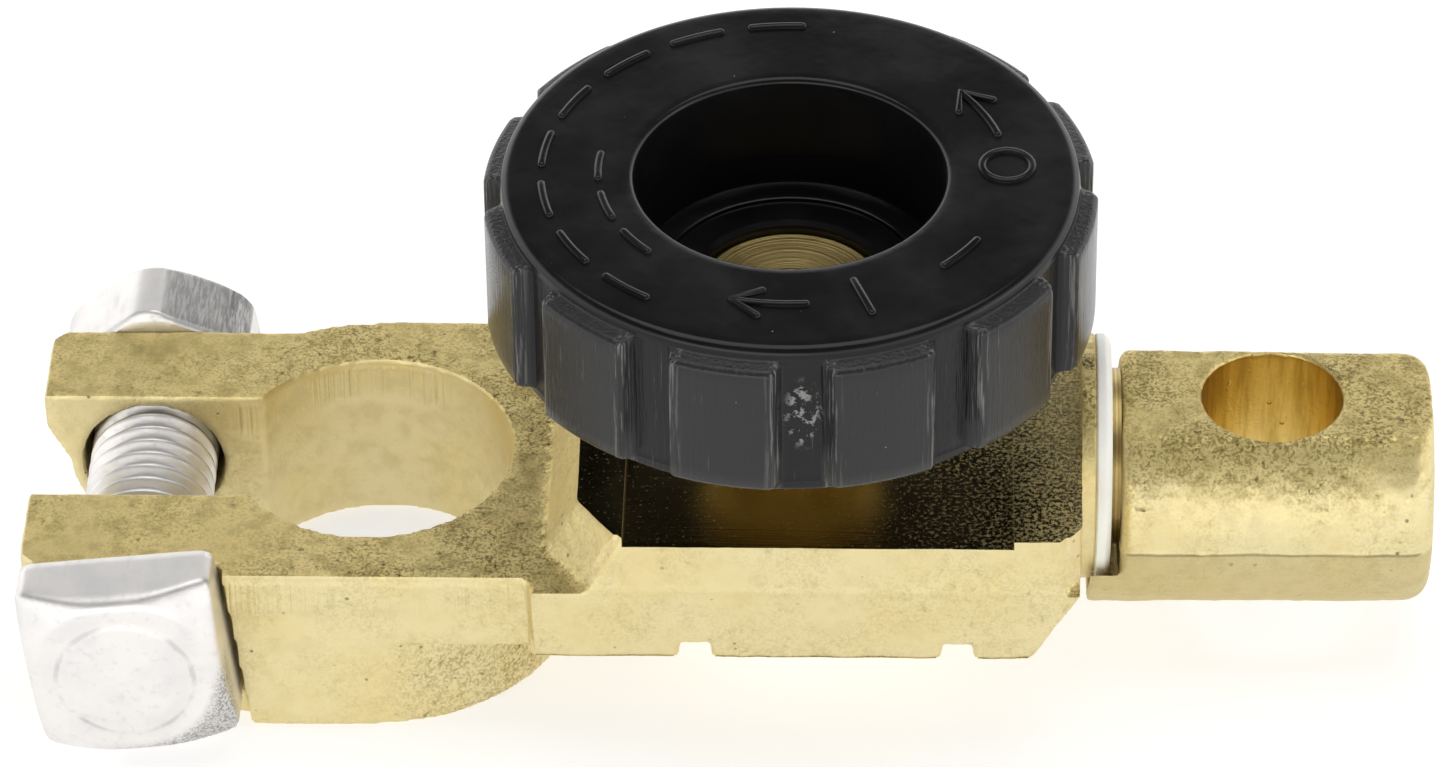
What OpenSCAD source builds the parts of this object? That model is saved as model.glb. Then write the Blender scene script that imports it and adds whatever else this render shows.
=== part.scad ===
// Battery-post switch: a brass clamp casting with a screw-down black knob and an insulated cable lug.
// Millimetres. X runs from the clamp ears to the cable lug, Y across, Z up.
// The origin is on the axis of the post bore, level with the ring's top face.

/* [Post clamp] */
// Diameter of the bore that grips the battery post
post_d = 17.2; // [14:0.1:21]
// Wall of the ring round the post
ring_wall = 3.9; // [3:0.1:6]
// Height of the ring
ring_h = 11.8; // [10:0.1:16]
// Width of the slot between the ears
slot_w = 9.4; // [7:0.1:12]
// Thickness of each ear along the bolt
ear_t = 6.7; // [5:0.1:9]
// Casting left beyond the bolt shank at the ends of the ears
ear_end = 2.6; // [2:0.1:5]
// Clear space between the post and the bolt shank
post_gap = 1.6; // [1:0.1:4]
// Depth of the bolt axis below the ring's top face
bolt_drop = 5.2; // [4.8:0.1:5.8]

/* [Clamp bolt] */
// Thread diameter of the clamp bolt
bolt_d = 8; // [6:0.1:9]
// Width across the flats of the square head
head_af = 12; // [11:0.1:14]
// Thickness of the square head
head_t = 4.7; // [4:0.1:6]
// Tilt of the head where the casting's shoulder holds it, degrees
head_turn = 6.4; // [0:0.1:10]
// Width across the flats of the hexagon nut
nut_af = 12; // [11:0.1:14]
// Thickness of the nut
nut_t = 5.5; // [4:0.1:7]
// Bolt thread that stands out past the nut
bolt_tail = 1.7; // [0.5:0.1:4]

/* [Block] */
// Length of the block along X
block_len = 33.2; // [31:0.1:42]
// Width of the block across Y
block_w = 27.9; // [26:0.1:36]
// Height of the block above the ring's top face
block_up = 4.1; // [3.8:0.1:6]
// Depth of the block below the ring's top face
block_down = 5.3; // [4.6:0.1:7]
// Depth of the milled seat under the knob
seat_cut = 0.55; // [0.3:0.05:0.7]
// Distance from the seat's left edge to the block's left edge
seat_left = 5.7; // [5:0.1:7]
// Distance from the seat's right edge to the block's right face
seat_right = 4.1; // [3:0.1:6]
// Distance from the block's left edge to the screw axis
screw_inset = 15.6; // [14:0.1:17]
// Distance that the ring runs into the block
ring_in_block = 2.4; // [1:0.1:3]
// Height of the turned boss at the lug end
boss_t = 0.95; // [0.6:0.05:2]

/* [Knob] */
// Diameter over the grip lobes
knob_d = 36.8; // [33:0.1:44]
// Height of the knob without its raised marks
knob_h = 10.45; // [9.5:0.05:14]
// Number of grip lobes
lobes = 12; // [8:1:16]
// Width of the recess between two lobes
recess_w = 2.5; // [1.5:0.1:4]
// Depth of the recess between two lobes
recess_t = 1.1; // [0.6:0.1:1.6]
// Angle from the knob's front to the middle of its front recess, in degrees
recess_turn = 3.3; // [0:0.1:15]
// Diameter of the well in the knob's top
well_d = 18.6; // [16:0.1:20]
// Thickness of the floor that holds the screw
floor_t = 2.4; // [2:0.1:4]
// Wall of the knob's shell
shell_t = 2.1; // [1.6:0.1:3]
// Height of the raised marks on the top face
mark_t = 0.25; // [0.1:0.05:0.5]
// Gap between the knob's base and the seat at rest, switched off
knob_gap = 7.25; // [4:0.05:10]

/* [Switch screw] */
// Thread diameter of the switch screw
screw_d = 10; // [8:0.1:10.6]
// Gap between the contact tip and the contact tongue at rest, switched off
off_gap = 1.2; // [0.6:0.1:2]
// Step from the screw's thread in to the edge of the swivelling contact tip
tip_step = 0.9; // [0.5:0.1:1.5]
// Thickness of the contact tip
tip_t = 1.2; // [1:0.1:1.6]
// Diameter of the pin that the tip swivels on
tip_pin_d = 3; // [2:0.1:4]

/* [Contact stem and lug] */
// Diameter of the contact stem
stem_d = 5; // [4:0.1:5.2]
// Depth of the stem's axis below the ring's top face
stem_drop = 0.3; // [0:0.1:0.6]
// Depth of the contact tongue's flat below the stem's axis
tongue_drop = 1.1; // [0.8:0.1:1.4]
// Wall of the insulating bush
bush_wall = 0.6; // [0.4:0.1:0.6]
// Diameter of the bush's flange
flange_d = 15; // [13:0.1:16]
// Thickness of the bush's flange
flange_t = 0.95; // [0.8:0.05:2]
// Diameter of the stem's neck
neck_d = 10.8; // [10:0.1:13]
// Length of the stem's neck
neck_t = 0.6; // [0.4:0.05:1.5]
// Diameter of the cable lug
lug_d = 15.4; // [13.5:0.1:19]
// Thickness of the cable lug between its two flats
lug_flats = 12.8; // [11:0.1:15]
// Length of the cable lug
lug_len = 18.95; // [17:0.05:26]
// Depth of the lug's axis below the stem's axis
lug_offset = 1.55; // [1.2:0.05:2]
// Diameter of the lug's bolt hole
lug_hole_d = 8.6; // [7:0.1:9.5]
// Distance from the lug's right end to the bolt hole's axis
lug_hole_inset = 9.75; // [7:0.05:12]

/* [Fits] */
// Radial clearance of a turning fit
run_fit = 0.05; // [0.02:0.01:0.08]
// Radial clearance of the bolt in the ears
bolt_fit = 0.4; // [0.2:0.05:0.5]
// Clearance between pieces that pass each other
pass_gap = 0.3; // [0.2:0.05:0.5]
// Air gap between the cable lug's lip and the clamp casting
air_gap = 0.6; // [0.4:0.1:1]

/* [Hidden] */
$fn = 96;
eps = 0.01;

brass_cast = [0.80, 0.73, 0.50];
brass_turned = [0.78, 0.62, 0.30];
zinc = [0.82, 0.82, 0.84];
black = [0.08, 0.08, 0.08];
nylon = [0.95, 0.93, 0.89];

// post clamp
post_r = post_d / 2;
ring_r = post_r + ring_wall;
ear_out = slot_w / 2 + ear_t;
bolt_x = -(post_r + post_gap + bolt_d / 2);
bolt_z = -bolt_drop;
ear_x = bolt_x - bolt_d / 2 - ear_end;
ear_low = bolt_z - bolt_d / 2 - 1.2;
ear_lip_h = 2.4;
ear_corner = 1.4;
bolt_hole_r = bolt_d / 2 + bolt_fit;
head_play = 0.25;
pad_out = max(ring_r, ear_out + 0.6);

// block
block_x0 = ring_r - ring_in_block;
block_x1 = block_x0 + block_len;
seat_z = block_up - seat_cut;
screw_x = block_x0 + screw_inset;
screw_r = screw_d / 2;
wall_lean = 2.1;
wall_foot = 0.8;
corner_x = 2.8;
corner_y = 3.9;
end_corner = 1.25;
end_bevel_x = 2.9;
notch_w = 1.9;
notch_h = 1.2;
notch_reach = 7.9;
belly_r = screw_r + 4.4;
belly_low = block_down + 4.2;
belly_edge = 0.8;

// stem, bush and lug, along X
stem_r = stem_d / 2;
stem_z = -stem_drop;
bush_r = stem_r + bush_wall;
boss_r = flange_d / 2;
boss_x = block_x1 + boss_t;
flange_x = boss_x + flange_t;
neck_x = flange_x + neck_t;
tongue_z = stem_z - tongue_drop;
tongue_end = screw_x - screw_r + 1.35;
tongue_root = screw_x + screw_r + run_fit + pass_gap;
bush_in = tongue_root + 0.1;
lug_r = lug_d / 2;
lug_z = stem_z - lug_offset;
lug_x1 = neck_x + lug_len;
lug_hole_x = lug_x1 - lug_hole_inset;
lug_edge = 1.5;
lug_draft = 0.12;
spigot_r = 3.6;
spigot_len = 4.1;
lip_step = neck_t + flange_t * 0.55;
tab_x = block_x1 + air_gap;
lip_in = boss_r + air_gap;
plug_low = -belly_low + 0.4;

// screw and knob, along Z
tip_r = screw_r - tip_step;
tip_z = tongue_z + off_gap;
pin_r = tip_pin_d / 2;
shank_z = tip_z + tip_t + 0.1;
knob_z = seat_z + knob_gap;
knob_top = knob_z + knob_h;
knob_r = knob_d / 2;
rim_r = knob_r - recess_t;
top_r = rim_r - 0.7;
foot_h = 0.7;
lobe_top = knob_top - 0.95;
lobe_round = 0.5;
well_r = well_d / 2;
floor_z = knob_z + floor_t;
floor_step = 0.35;
head_r = screw_r + 0.6;
head_z = floor_z - 0.7;
hub_r = well_r + 1.8;
shell_in = rim_r - shell_t;
roof_z = knob_top - 2.2;
hex_af = 2 * head_r + 1.6;
hex_z = knob_z + 0.5;
hex_t = 0.8;
rib_t = 1.2;
ribs = 6;
mark_r = (well_r + top_r) / 2;
mark_w = 0.55;

// cylinder along X from xa to xb, on the line y = 0, z = zc
module bar_x(xa, xb, r, zc) {
    translate([xa, 0, zc]) rotate([0, 90, 0]) cylinder(r = r, h = xb - xa);
}

// cylinder along Y on the bolt's axis
module bar_bolt(ya, yb, r) {
    translate([bolt_x, ya, bolt_z]) rotate([-90, 0, 0]) cylinder(r = r, h = yb - ya);
}

// rounded rectangle from p to q
module plate2d(p, q, r) {
    translate([p[0] + r, p[1]]) square([q[0] - p[0] - 2 * r, q[1] - p[1]]);
    translate([p[0], p[1] + r]) square([q[0] - p[0], q[1] - p[1] - 2 * r]);
    for (x = [p[0] + r, q[0] - r], y = [p[1] + r, q[1] - r]) translate([x, y]) circle(r = r);
}

// side outline of an ear, round below the bolt and with a straight lip above it
module ear2d() {
    polygon([[ear_x, -ear_lip_h], [ear_x, 0], [0, 0], [0, -ring_h], [-post_r, -ring_h],
             [bolt_x, ear_low], [bolt_x - (bolt_z - ear_low), bolt_z]]);
    translate([bolt_x, bolt_z]) circle(r = bolt_z - ear_low);
}

// both ears and the flat flanks of the ring, before they are slotted
module ears() {
    intersection() {
        translate([0, ear_out, 0]) rotate([90, 0, 0]) linear_extrude(2 * ear_out) ear2d();
        translate([0, 0, -ring_h - 1]) linear_extrude(ring_h + 1)
            plate2d([ear_x, -ear_out], [ring_r, ear_out], ear_corner);
    }
    // pad with the shoulder that stops the square head from turning
    difference() {
        translate([bolt_x + head_af / 2 - 1.5, -pad_out, -ring_h])
            cube([-bolt_x - head_af / 2 + 1.5, pad_out, ring_h]);
        translate([bolt_x, -ear_out, bolt_z]) rotate([0, -head_turn, 0])
            translate([-head_af, -10, -head_af])
            cube([head_af + head_af / 2 + head_play, 10, 2 * head_af]);
    }
}

// plan of the raised part of the block, its left corners cut back
module raised2d(lean) {
    xa = block_x0 + wall_foot + lean;
    yo = block_w / 2;
    polygon([[xa, -yo + corner_y], [xa + corner_x, -yo], [block_x1 - end_corner, -yo],
             [block_x1, -yo + end_corner * 1.3], [block_x1, yo - end_corner * 1.3],
             [block_x1 - end_corner, yo], [xa + corner_x, yo], [xa, yo - corner_y]]);
}

module block() {
    // lower half, bevelled at the lug end
    translate([0, block_w / 2, 0]) rotate([90, 0, 0]) linear_extrude(block_w)
        polygon([[block_x0, 0], [block_x0, -block_down], [block_x1 - end_bevel_x, -block_down],
                 [block_x1, 0]]);
    // raised half with leaning left walls
    hull() {
        linear_extrude(eps) raised2d(0);
        translate([0, 0, block_up - eps]) linear_extrude(eps) raised2d(wall_lean);
    }
    // web that joins ring and block
    translate([0, -ring_r, -block_down]) cube([block_x0 + 2, 2 * ring_r, block_down]);
    // turned boss round the stem, and the belly that carries it under the block
    bar_x(block_x1 - 1, boss_x, boss_r, stem_z);
    intersection() {
        bar_x(screw_x, block_x1 - end_bevel_x, boss_r, stem_z);
        translate([screw_x, -block_w / 2, -belly_low]) cube([block_len, block_w, belly_low]);
    }
    translate([screw_x, 0, 0]) rotate_extrude()
        polygon([[0, 0], [belly_r, 0], [belly_r, -belly_low + belly_edge],
                 [belly_r - belly_edge, -belly_low], [0, -belly_low]]);
}

module clamp_body() {
    color(brass_cast) difference() {
        union() {
            translate([0, 0, -ring_h]) cylinder(r = ring_r, h = ring_h);
            ears();
            block();
        }
        translate([0, 0, -ring_h - 1]) cylinder(r = post_r, h = ring_h + 2);
        translate([ear_x - 1, -slot_w / 2, -ring_h - 1]) cube([-ear_x + 1, slot_w, ring_h + 2]);
        bar_bolt(-ear_out - 1, ear_out + 1, bolt_hole_r);
        // milled seat across the top
        translate([block_x0 + seat_left, -block_w, seat_z])
            cube([block_len - seat_left - seat_right, 2 * block_w, block_up]);
        // notches in the lower edges, front and back
        for (s = [-1, 1], y = [-block_w / 2 - 1, block_w / 2 - 2.2])
            translate([screw_x + 2.3 + s * notch_reach - notch_w / 2, y, -block_down - 1])
                cube([notch_w, 3.2, notch_h + 1]);
        // threaded hole for the switch screw, and the bush's bore into it
        translate([screw_x, 0, -belly_low - 1])
            cylinder(r = screw_r + run_fit, h = belly_low + block_up + 2);
        bar_x(screw_x, boss_x + 1, bush_r, stem_z);
    }
}

module clamp_bolt() {
    tail_y = ear_out + nut_t + bolt_tail;
    color(zinc) {
        // square head with a forged round pad on its face
        translate([bolt_x, -ear_out, bolt_z]) rotate([0, -head_turn, 0]) intersection() {
            translate([-head_af / 2, -head_t, -head_af / 2]) cube([head_af, head_t, head_af]);
            rotate([90, 0, 0]) cylinder(r1 = head_af * 0.72, r2 = head_af * 0.66, h = head_t);
        }
        bar_bolt(-ear_out - head_t - 0.12, -ear_out - head_t + 1, head_af * 0.35);
        bar_bolt(-ear_out - 1, tail_y - 0.8, bolt_d / 2 - run_fit);
        translate([bolt_x, tail_y - 0.8, bolt_z]) rotate([-90, 0, 0])
            cylinder(r1 = bolt_d / 2 - run_fit, r2 = bolt_d / 2 - 0.8, h = 0.8);
    }
}

module clamp_nut() {
    corner_r = nut_af / sqrt(3);
    color(zinc) translate([bolt_x, ear_out, bolt_z]) rotate([-90, 0, 0]) difference() {
        intersection() {
            rotate([0, 0, 30 - 7]) cylinder(r = corner_r, h = nut_t, $fn = 6);
            cylinder(r1 = corner_r + nut_t - 0.5, r2 = corner_r - 0.5, h = nut_t);
            cylinder(r1 = corner_r - 0.35, r2 = corner_r - 0.35 + 2 * nut_t, h = nut_t);
        }
        translate([0, 0, -1]) cylinder(r = bolt_d / 2, h = nut_t + 2);
    }
}

// arc-shaped raised mark of width w at radius r, from angle a to b
module arc_mark(r, w, a, b) {
    steps = 8;
    reach = 2 * r;
    intersection() {
        difference() {
            circle(r = r + w / 2);
            circle(r = r - w / 2);
        }
        polygon(concat([[0, 0]], [for (i = [0 : steps]) let (t = a + (b - a) * i / steps)
            [reach * cos(t), reach * sin(t)]]));
    }
}

// arrow head at radius r and angle a; dir is 1 for anticlockwise and -1 for clockwise
module arrow_head(r, a, dir) {
    rotate(a) translate([r, 0]) polygon([[-1.1, 0], [1.1, 0], [0, dir * 2.2]]);
}

module marks2d() {
    // off: arrow anticlockwise and a ring
    arc_mark(mark_r, mark_w, 18, 36);
    arrow_head(mark_r, 36, 1);
    rotate(4) translate([mark_r, 0]) difference() {
        circle(r = 1.7);
        circle(r = 1.7 - mark_w);
    }
    // dividing dash
    arc_mark(mark_r, mark_w, 312, 330);
    // on: arrow clockwise and a bar
    arc_mark(mark_r, mark_w, 256, 272);
    arrow_head(mark_r, 256, -1);
    rotate(288) translate([mark_r, 0]) square([3.4, mark_w + 0.1], center = true);
    // plain dashes round the back and left
    for (i = [0 : 3]) arc_mark(mark_r + 1.1, 0.9, 92 + 36 * i, 120 + 36 * i);
    arc_mark(mark_r - 1.5, 0.7, 150, 212);
}

module knob() {
    color(black) translate([screw_x, 0, 0]) difference() {
        union() {
            difference() {
                rotate_extrude() polygon(concat(
                    [[0, knob_z], [rim_r - 0.2, knob_z], [rim_r, knob_z + 0.2],
                     [rim_r, knob_z + foot_h], [knob_r - 0.2, knob_z + foot_h],
                     [knob_r, knob_z + foot_h + 0.2]],
                    [for (t = [0 : 15 : 90]) [knob_r - lobe_round + lobe_round * cos(t),
                                             lobe_top - lobe_round + lobe_round * sin(t)]],
                    [for (t = [0 : 15 : 90]) [rim_r - 0.7 + 0.7 * cos(t),
                                             knob_top - 0.7 + 0.7 * sin(t)]],
                    [[0, knob_top]]));
                // recesses between the lobes
                for (i = [0 : lobes - 1]) rotate(i * 360 / lobes + recess_turn)
                    translate([rim_r, -recess_w / 2, knob_z + foot_h])
                        cube([3, recess_w, knob_h]);
                // well with its two floor steps
                translate([0, 0, floor_z + floor_step]) cylinder(r = well_r, h = knob_h);
                translate([0, 0, floor_z]) cylinder(r = well_r - 1.6, h = knob_h);
                translate([0, 0, knob_z - 1]) cylinder(r = head_r, h = knob_h);
                // hollow of the shell, between the hub and the outer wall
                difference() {
                    translate([0, 0, knob_z - 1]) cylinder(r = shell_in, h = roof_z - knob_z + 1);
                    translate([0, 0, knob_z - 2]) cylinder(r = hub_r, h = knob_h + 2);
                    for (i = [0 : ribs - 1]) rotate(i * 360 / ribs)
                        translate([hub_r - 1, -rib_t / 2, knob_z + 1.5])
                            cube([knob_r - hub_r, rib_t, knob_h]);
                }
            }
            translate([0, 0, knob_top - eps]) linear_extrude(mark_t + eps) marks2d();
        }
        translate([0, 0, hex_z]) cylinder(r = hex_af / sqrt(3), h = hex_t, $fn = 6);
    }
}

module switch_screw() {
    color(brass_turned) translate([screw_x, 0, 0]) {
        translate([0, 0, knob_z]) cylinder(r = head_r, h = head_z - knob_z);
        translate([0, 0, hex_z]) cylinder(r = hex_af / sqrt(3), h = hex_t, $fn = 6);
        translate([0, 0, shank_z + 0.5]) cylinder(r = screw_r, h = knob_z - shank_z - 0.5 + eps);
        translate([0, 0, shank_z]) cylinder(r1 = screw_r - 0.5, r2 = screw_r, h = 0.5);
        translate([0, 0, tip_z + 0.35]) cylinder(r = pin_r, h = shank_z - tip_z);
    }
}

module contact_tip() {
    color(brass_turned) translate([screw_x, 0, 0]) difference() {
        union() {
            translate([0, 0, tip_z + 0.3]) cylinder(r = tip_r, h = tip_t - 0.3);
            translate([0, 0, tip_z]) cylinder(r1 = tip_r - 0.3, r2 = tip_r, h = 0.3);
        }
        translate([0, 0, tip_z + 0.3]) cylinder(r = pin_r + run_fit, h = tip_t);
    }
}

module contact_stem() {
    color(brass_turned) {
        difference() {
            bar_x(tongue_end, flange_x + eps, stem_r, stem_z);
            translate([tongue_end - 1, -stem_r - 1, tongue_z])
                cube([tongue_root - tongue_end + 1, 2 * stem_r + 2, 2 * stem_r]);
        }
        bar_x(flange_x, neck_x, neck_d / 2, stem_z);
        bar_x(neck_x - eps, neck_x + spigot_len, spigot_r, stem_z);
    }
}

module insulating_bush() {
    color(nylon) difference() {
        union() {
            bar_x(bush_in, boss_x + eps, bush_r, stem_z);
            translate([boss_x, 0, stem_z]) rotate([0, 90, 0]) {
                cylinder(r = flange_d / 2, h = flange_t - 0.5);
                translate([0, 0, flange_t - 0.5])
                    cylinder(r1 = flange_d / 2, r2 = flange_d / 2 - 0.45, h = 0.5);
            }
        }
        bar_x(bush_in - 1, flange_x + 1, stem_r, stem_z);
    }
}

module support_plug() {
    plug_r = screw_r + run_fit;
    color(nylon) difference() {
        translate([screw_x, 0, plug_low]) cylinder(r = plug_r, h = tongue_z - 0.5 - plug_low);
        bar_x(screw_x - screw_d, screw_x + screw_d, stem_r, stem_z);
    }
}

// lower part of the lug that reaches under the flange, from xa to xb
module lug_lip(xa, xb) {
    intersection() {
        bar_x(xa, xb, lug_r, lug_z);
        difference() {
            translate([xa - 1, -lug_d, lug_z - lug_d]) cube([xb - xa + 2, 2 * lug_d, lug_d]);
            bar_x(xa - 2, xb + 2, lip_in, stem_z);
        }
    }
}

module cable_lug() {
    color(brass_cast) difference() {
        union() {
            translate([neck_x, 0, lug_z]) rotate([0, 90, 0]) rotate_extrude() polygon(concat(
                [[0, 0], [lug_r - 0.4, 0], [lug_r, 0.4]],
                [for (t = [0 : 10 : 90]) [lug_r - lug_draft - lug_edge * (1 - cos(t)),
                                         lug_len - lug_edge * (1 - sin(t))]],
                [[0, lug_len]]));
            lug_lip(neck_x - lip_step, neck_x + 0.6);
            lug_lip(tab_x, neck_x - lip_step + eps);
        }
        bar_x(neck_x - 1, neck_x + spigot_len, spigot_r, stem_z);
        translate([lug_hole_x, 0, lug_z - lug_d]) cylinder(d = lug_hole_d, h = 2 * lug_d);
        // flats on top and below for the cable's terminal and the bolt's nut
        for (low = [lug_z + lug_flats / 2, lug_z - lug_flats / 2 - lug_d])
            translate([neck_x, -lug_d, low]) cube([lug_len + 1, 2 * lug_d, lug_d]);
    }
}

clamp_body();
clamp_bolt();
clamp_nut();
knob();
switch_screw();
contact_tip();
contact_stem();
insulating_bush();
support_plug();
cable_lug();
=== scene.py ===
import math

import bpy
from mathutils import Matrix, Vector, noise


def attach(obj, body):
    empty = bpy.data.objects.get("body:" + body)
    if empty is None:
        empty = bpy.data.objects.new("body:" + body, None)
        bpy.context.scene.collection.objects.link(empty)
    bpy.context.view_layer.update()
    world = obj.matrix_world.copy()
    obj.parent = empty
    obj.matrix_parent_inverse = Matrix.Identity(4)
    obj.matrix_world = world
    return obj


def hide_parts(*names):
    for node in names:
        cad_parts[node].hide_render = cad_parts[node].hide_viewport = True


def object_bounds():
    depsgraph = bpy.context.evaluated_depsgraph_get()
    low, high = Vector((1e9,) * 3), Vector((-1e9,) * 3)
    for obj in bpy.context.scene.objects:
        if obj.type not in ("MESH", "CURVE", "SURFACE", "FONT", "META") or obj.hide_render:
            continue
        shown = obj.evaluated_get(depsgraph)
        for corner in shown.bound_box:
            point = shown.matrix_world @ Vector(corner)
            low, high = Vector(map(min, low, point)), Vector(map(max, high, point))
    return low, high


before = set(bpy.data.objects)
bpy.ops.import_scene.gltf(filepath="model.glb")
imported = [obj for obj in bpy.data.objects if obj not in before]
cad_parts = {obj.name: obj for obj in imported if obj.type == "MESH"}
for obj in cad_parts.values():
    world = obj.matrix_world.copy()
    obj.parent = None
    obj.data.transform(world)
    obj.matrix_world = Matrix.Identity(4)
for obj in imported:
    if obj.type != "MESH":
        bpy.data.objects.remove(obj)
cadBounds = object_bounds()
mm = 0.001
print("frame loaded", cadBounds)


class Wire:
    # one output socket; sums on it add Math nodes to its board
    def __init__(self, board, socket):
        self.board = board
        self.socket = socket

    def sum(self, operation, *values, clamp=False):
        settings = {"operation": operation, "use_clamp": clamp}
        return self.board.node("ShaderNodeMath", settings, dict(enumerate(values)))

    def __add__(self, other):
        return self.sum("ADD", self, other)

    def __radd__(self, other):
        return self.sum("ADD", other, self)

    def __sub__(self, other):
        return self.sum("SUBTRACT", self, other)

    def __rsub__(self, other):
        return self.sum("SUBTRACT", other, self)

    def __mul__(self, other):
        return self.sum("MULTIPLY", self, other)

    def __pow__(self, other):
        return self.sum("POWER", self, other)

    def size(self):
        return self.sum("ABSOLUTE", self)

    def capped(self):
        return self.sum("MAXIMUM", self, 0.0, clamp=True)

    def most(self, other):
        return self.sum("MAXIMUM", self, other)

    def step(self, low, high):
        # 0 below low, 1 above high, a soft ramp between; low may be the larger one
        settings = {"interpolation_type": "SMOOTHSTEP"}
        ends = {"Value": self, "From Min": min(low, high), "From Max": max(low, high)}
        rising = low < high
        ends.update({"To Min": 0.0 if rising else 1.0, "To Max": 1.0 if rising else 0.0})
        return self.board.node("ShaderNodeMapRange", settings, ends)


class Board:
    # the nodes of a new material, or of the world when that is given
    def __init__(self, name, world=None):
        self.material = world or bpy.data.materials.new(name)
        self.material.use_nodes = True
        self.tree = self.material.node_tree
        self.tree.nodes.clear()
        self.place = self.node("ShaderNodeTexCoord", out="Object")

    def node(self, kind, settings=None, sockets=None, out=0):
        made = self.tree.nodes.new(kind)
        for key, value in (settings or {}).items():
            if key == "stops":
                self.setStops(made.color_ramp, value)
            else:
                setattr(made, key, value)
        for key, value in (sockets or {}).items():
            if isinstance(value, Wire):
                self.tree.links.new(value.socket, made.inputs[key])
            else:
                made.inputs[key].default_value = value
        return Wire(self, made.outputs[out]) if len(made.outputs) else made

    def setStops(self, ramp, stops):
        while len(ramp.elements) < len(stops):
            ramp.elements.new(0.5)
        for element, (spot, tone) in zip(ramp.elements, stops):
            element.position = spot
            element.color = (*tone, 1.0)

    def noise(self, grain, detail=4.0, rough=0.55, bend=0.0, stretch=None, seed=0.0):
        # grain is the size of a blotch in mm
        place = self.stretched(stretch, seed)
        ends = {"Vector": place, "Scale": 1 / (grain * mm), "Detail": detail, "Roughness": rough,
                "Distortion": bend}
        return self.node("ShaderNodeTexNoise", {}, ends, out="Fac")

    def cells(self, grain, seed=0.0):
        # distance from the nearest of points about a grain (mm) apart
        place = self.stretched(None, seed)
        return self.node("ShaderNodeTexVoronoi", {"feature": "F1"},
                         {"Vector": place, "Scale": 1 / (grain * mm)}, out="Distance")

    def lines(self, track, scale, detail, rough):
        # noise that changes along track (mm) only
        ends = {"W": track, "Scale": scale, "Detail": detail, "Roughness": rough}
        return self.node("ShaderNodeTexNoise", {"noise_dimensions": "1D"}, ends, out="Fac")

    def facings(self):
        # the surface's own direction along x, y and z
        normal = self.node("ShaderNodeNewGeometry", out="Normal")
        return [self.node("ShaderNodeSeparateXYZ", {}, {"Vector": normal}, out=i) for i in range(3)]

    def stretched(self, stretch, seed):
        if stretch is None and seed == 0.0:
            return self.place
        ends = {"Vector": self.place, "Scale": stretch or (1, 1, 1), "Location": (seed, seed * 0.7, -seed)}
        return self.node("ShaderNodeMapping", {}, ends)

    def axis(self, index):
        # object coordinate along x, y or z, in mm
        parts = self.node("ShaderNodeSeparateXYZ", {}, {"Vector": self.place}, out=index)
        return parts * (1 / mm)

    def blend(self, mask, low, high):
        # low where the mask is 0, high where it is 1; 0, 6 and 7 are a colour mix's factor, A and B
        low, high = (tone if isinstance(tone, Wire) else (*tone, 1.0) for tone in (low, high))
        return self.node("ShaderNodeMix", {"data_type": "RGBA"}, {0: mask, 6: low, 7: high}, out=2)

    def bump(self, height, depth, onto=None):
        # depth is in mm for a height of 1
        ends = {"Height": height, "Distance": depth * mm, "Strength": 1.0}
        if onto:
            ends["Normal"] = onto
        return self.node("ShaderNodeBump", {}, ends, out="Normal")

    def finish(self, **sockets):
        names = {"color": "Base Color", "rough": "Roughness", "metal": "Metallic", "normal": "Normal",
                 "under": "Subsurface Weight", "underScale": "Subsurface Scale", "spec": "Specular IOR Level"}
        ends = {names[key]: value for key, value in sockets.items()}
        skin = self.node("ShaderNodeBsdfPrincipled", {}, ends)
        self.node("ShaderNodeOutputMaterial", {}, {"Surface": skin})
        return self.material


def addObject(name, mesh):
    piece = bpy.data.objects.new(name, mesh)
    bpy.context.scene.collection.objects.link(piece)
    return piece


def fromPoints(name, points, faces):
    # points in mm
    mesh = bpy.data.meshes.new(name)
    mesh.from_pydata([tuple(c * mm for c in p) for p in points], [], faces)
    mesh.validate()
    mesh.update()
    return addObject(name, mesh)


def settle(piece):
    # turns a piece's modifiers into its mesh
    graph = bpy.context.evaluated_depsgraph_get()
    mesh = bpy.data.meshes.new_from_object(piece.evaluated_get(graph))
    old = piece.data
    piece.modifiers.clear()
    piece.data = mesh
    bpy.data.meshes.remove(old)
    return piece


def scrap(piece):
    mesh = piece.data
    bpy.data.objects.remove(piece)
    bpy.data.meshes.remove(mesh)


def combine(piece, tool, operation):
    joined = piece.modifiers.new("combine", "BOOLEAN")
    joined.operation = operation
    joined.solver = "EXACT"
    joined.object = tool
    settle(piece)
    scrap(tool)
    return piece


def shade(piece, angle=35.0):
    piece.data.shade_smooth()
    piece.data.set_sharp_from_angle(angle=math.radians(angle))
    return piece


def turned(points, matrix):
    return [matrix @ Vector(p) for p in points]


def spin(name, rows, matrix, steps=96, closed=False):
    # rows of radii round +Z, each (height, radius) where radius is a number or a function of the angle;
    # the first and last rows of an open spin close on the axis
    points, faces = [], []
    for height, radius in rows:
        for i in range(steps):
            angle = 2 * math.pi * i / steps
            reach = radius(angle) if callable(radius) else radius
            points.append((reach * math.cos(angle), reach * math.sin(angle), height))
    last = len(rows)
    for j in range(last if closed else last - 1):
        k = (j + 1) % last
        for i in range(steps):
            n = (i + 1) % steps
            faces.append((j * steps + i, j * steps + n, k * steps + n, k * steps + i))
    if not closed:
        for j, flip in ((0, True), (last - 1, False)):
            ring = [j * steps + i for i in range(steps)]
            points.append((0, 0, rows[j][0]))
            hub = len(points) - 1
            for i in range(steps):
                pair = (ring[(i + 1) % steps], ring[i]) if flip else (ring[i], ring[(i + 1) % steps])
                faces.append((pair[0], pair[1], hub))
    return fromPoints(name, turned(points, matrix), faces)


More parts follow.
